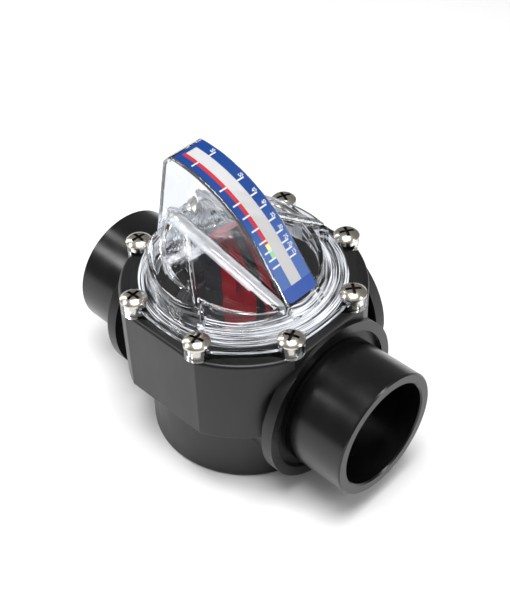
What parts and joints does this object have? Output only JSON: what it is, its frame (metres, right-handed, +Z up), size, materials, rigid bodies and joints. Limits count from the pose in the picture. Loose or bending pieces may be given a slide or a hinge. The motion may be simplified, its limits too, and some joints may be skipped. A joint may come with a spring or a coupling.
{
  "type": "spring-flap in-line flow meter",
  "caption": "In-line pipe flow meter: black plastic valve body, clear lid with a shark-fin scale housing, red swinging flapper pointer, eight lid screws.",
  "frame": {"origin": "centre of the bowl's flat underside, where the part stands", "axes": "+X along the flow, inlet to outlet; +Y towards the blank third port; +Z up to the lid"},
  "size_m": [0.202, 0.1283, 0.1659],
  "materials": {
    "black_pvc": "satin",
    "clear_plastic": "polished",
    "stainless": "satin",
    "spring_steel": "drawn wire",
    "rubber": "matte",
    "red_plastic": "moulded",
    "printed_film": "printed"
  },
  "bodies": {
    "housing": {"body": "black_pvc", "lid": "clear_plastic", "lid_screws": "stainless", "lid_o_ring": "rubber", "scale_label": "printed_film", "hinge_pin": "stainless", "pin_clips": "stainless", "left_spring": "spring_steel", "right_spring": "spring_steel"},
    "flapper": {"flapper": "red_plastic", "flapper_seal": "rubber", "seal_retainer": "stainless", "retainer_screw": "stainless"}
  },
  "joints": [
    {"name": "flapper_swing", "type": "hinge", "parent": "housing", "child": "flapper", "pos_m": [-0.0415, 0, 0.0959], "axis": [0, -1, 0], "range_deg": [0, 45], "stiffness_Nm_per_rad": 0.02, "springref_deg": -28.65, "deforming": ["left_spring", "right_spring"]}
  ]
}
